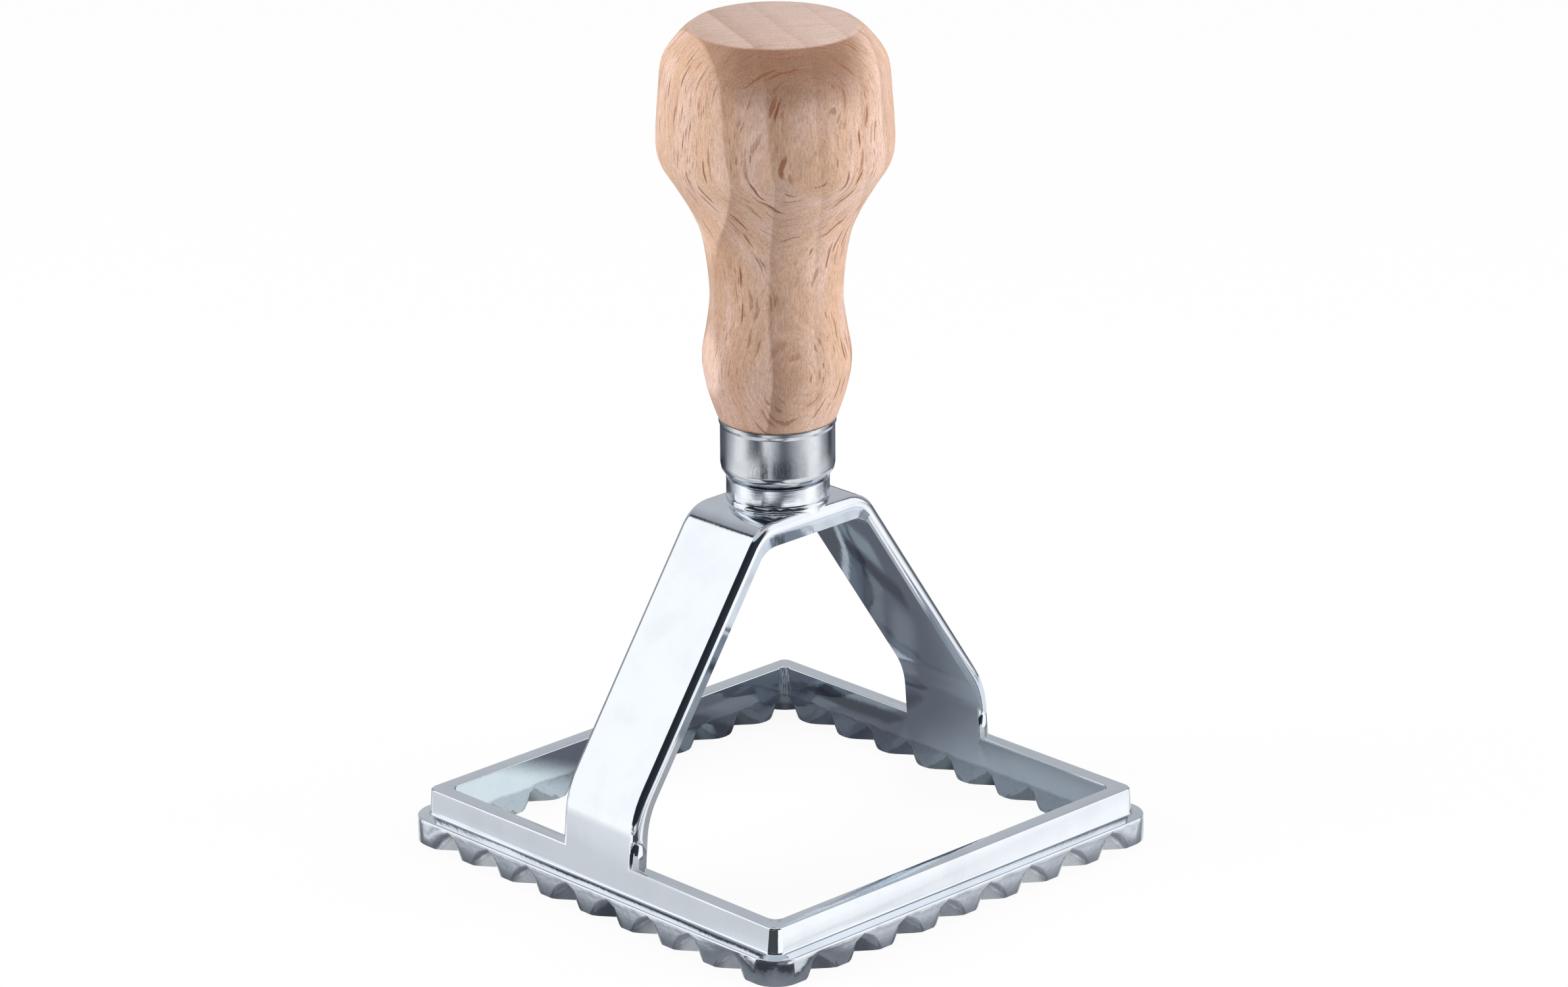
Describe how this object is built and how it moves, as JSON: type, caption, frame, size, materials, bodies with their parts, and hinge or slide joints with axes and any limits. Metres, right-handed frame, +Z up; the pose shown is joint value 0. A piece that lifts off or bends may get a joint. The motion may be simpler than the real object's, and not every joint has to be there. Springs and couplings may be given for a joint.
{
  "type": "square ravioli stamp",
  "caption": "Square pasta stamp: a cast metal ring with a wavy cutting edge, two arms meeting in a turned collar, a steel ferrule and a waisted beech handle with a round knob.",
  "frame": {"origin": "centre of the square opening, in the plane of the cutting edge", "axes": "+Z up along the handle, X across the two arms, Y through the open side of the arms"},
  "size_m": [0.0738, 0.0738, 0.1179],
  "materials": {
    "cast_zinc": "bright plated casting, polished by hand, with faint streaks",
    "ferrule_steel": "satin drawn steel with a bright lip",
    "beech": "turned and sanded, thin matt oil"
  },
  "bodies": {
    "root": {"stamp_frame": "cast_zinc", "ferrule": "ferrule_steel", "handle": "beech"}
  },
  "joints": []
}
